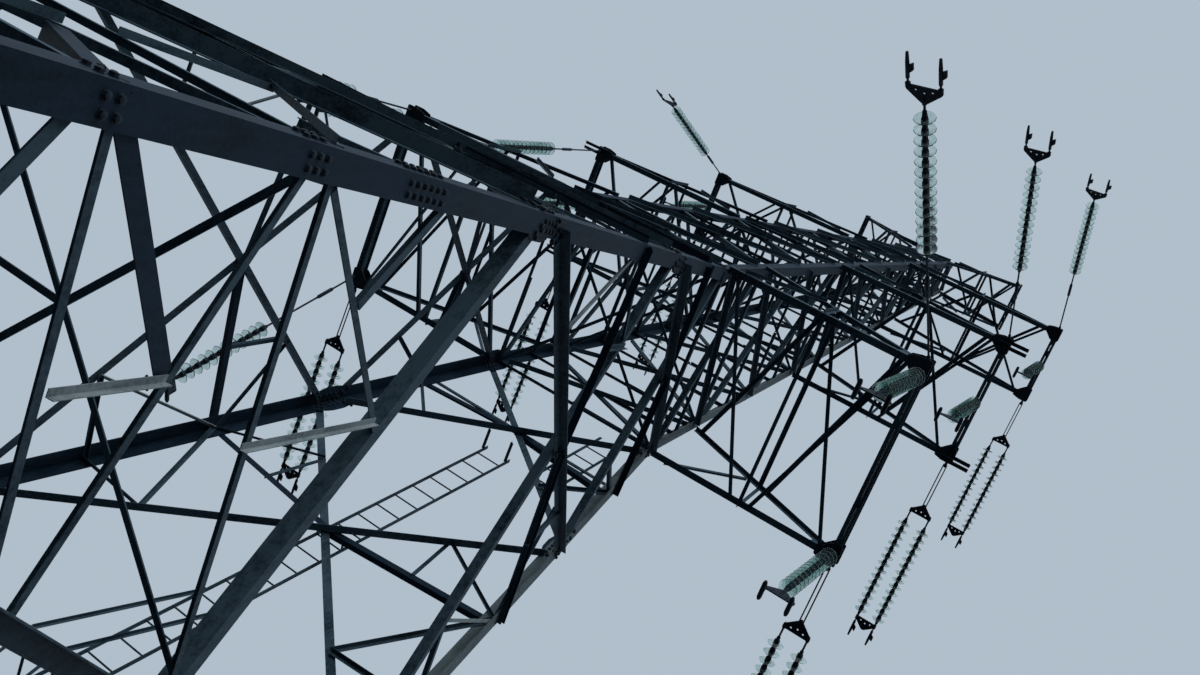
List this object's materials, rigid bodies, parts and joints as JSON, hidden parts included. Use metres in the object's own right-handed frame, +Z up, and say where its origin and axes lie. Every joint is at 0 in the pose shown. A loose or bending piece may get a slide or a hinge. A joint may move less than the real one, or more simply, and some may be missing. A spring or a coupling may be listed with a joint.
{
  "type": "lattice transmission pylon",
  "caption": "Square lattice steel pylon for two circuits, with braced crossarms on both sides, glass disc strings and bolted feet.",
  "frame": {"origin": "middle of the four base plates, on the ground", "axes": "+Z up the tower, +X along the crossarms of the right circuit, +Y towards the main line"},
  "size_m": [10.3566, 10.4628, 37.953],
  "materials": {
    "galvanised_steel": "dull weathered zinc",
    "dark_steel": "dull weathered zinc",
    "insulator_glass": "toughened glass discs with metal caps"
  },
  "bodies": {
    "root": {"leg_front_left": "galvanised_steel", "leg_front_right": "galvanised_steel", "leg_back_right": "galvanised_steel", "leg_back_left": "galvanised_steel", "low_diagonal_rising_front": "galvanised_steel", "low_diagonal_rising_right": "galvanised_steel", "low_diagonal_rising_back": "galvanised_steel", "low_diagonal_rising_left": "galvanised_steel", "low_diagonal_falling_front": "galvanised_steel", "low_diagonal_falling_right": "galvanised_steel", "low_diagonal_falling_back": "galvanised_steel", "low_diagonal_falling_left": "galvanised_steel", "middle_bracing_front": "galvanised_steel", "middle_bracing_right": "galvanised_steel", "middle_bracing_back": "galvanised_steel", "middle_bracing_left": "galvanised_steel", "upper_bracing_front": "galvanised_steel", "upper_bracing_right": "galvanised_steel", "upper_bracing_back": "galvanised_steel", "upper_bracing_left": "galvanised_steel", "arm_a_right": "galvanised_steel", "arm_a_left": "galvanised_steel", "arm_b_right": "galvanised_steel", "arm_b_left": "galvanised_steel", "arm_c_right": "galvanised_steel", "arm_c_left": "galvanised_steel", "arm_d_right": "galvanised_steel", "arm_d_left": "galvanised_steel", "plan_bracing": "galvanised_steel", "ladder": "dark_steel", "line_strings_right": "insulator_glass", "line_strings_left": "insulator_glass", "slack_strings_right": "insulator_glass", "slack_strings_left": "insulator_glass", "support_strings_right": "insulator_glass", "support_strings_left": "insulator_glass"}
  },
  "joints": []
}
